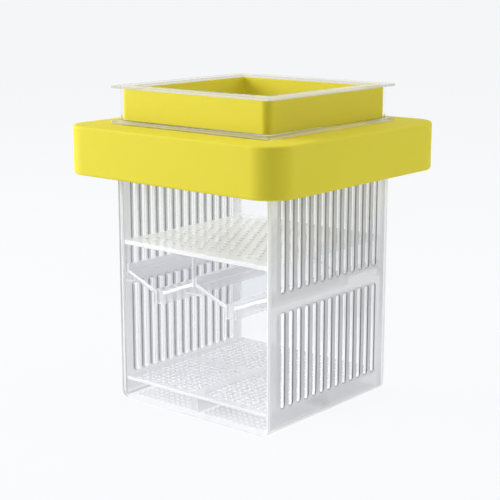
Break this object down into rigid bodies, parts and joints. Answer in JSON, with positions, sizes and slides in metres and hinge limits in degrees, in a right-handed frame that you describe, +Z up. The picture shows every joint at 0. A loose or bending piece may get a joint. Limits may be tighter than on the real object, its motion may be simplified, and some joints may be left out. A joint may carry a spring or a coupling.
{
  "type": "fish breeding box",
  "caption": "Floating square fish breeding box: clear slotted walls, foam float ring, collar with a lining, perforated tray over V troughs with slits, and a mesh floor.",
  "frame": {"origin": "centre of the underside, on the surface that the box stands on", "axes": "+Z up; -Y is the plain front wall; +X is the slotted right-hand wall"},
  "size_m": [0.168, 0.168, 0.1986],
  "materials": {
    "clear_wall": "polished",
    "clear_lattice": "gloss",
    "pale_tray": "satin",
    "clear_trough": "polished",
    "clear_collar": "polished",
    "yellow_foam": "matte"
  },
  "bodies": {
    "box": {"front_panel": "clear_wall", "back_panel": "clear_wall", "left_panel": "clear_wall", "right_panel": "clear_wall", "base_plate": "clear_lattice", "mesh_floor": "clear_lattice"},
    "left_trough": {"trough_left": "clear_trough"},
    "right_trough": {"trough_right": "clear_trough"},
    "tray": {"perforated_tray": "pale_tray"},
    "collar": {"collar": "clear_collar", "neck_lining": "yellow_foam"},
    "float": {"float_ring": "yellow_foam"}
  },
  "joints": [
    {"name": "left_trough_lift", "type": "slide", "parent": "box", "child": "left_trough", "axis": [0, 0, 1], "range_m": [0, 0.12]},
    {"name": "right_trough_lift", "type": "slide", "parent": "left_trough", "child": "right_trough", "axis": [0, 0, 1], "range_m": [0, 0.12]},
    {"name": "tray_lift", "type": "slide", "parent": "right_trough", "child": "tray", "axis": [0, 0, 1], "range_m": [0, 0.09]},
    {"name": "collar_lift", "type": "slide", "parent": "tray", "child": "collar", "axis": [0, 0, 1], "range_m": [0, 0.05]},
    {"name": "float_slide", "type": "slide", "parent": "box", "child": "float", "axis": [0, 0, -1], "range_m": [0, 0.143]}
  ]
}
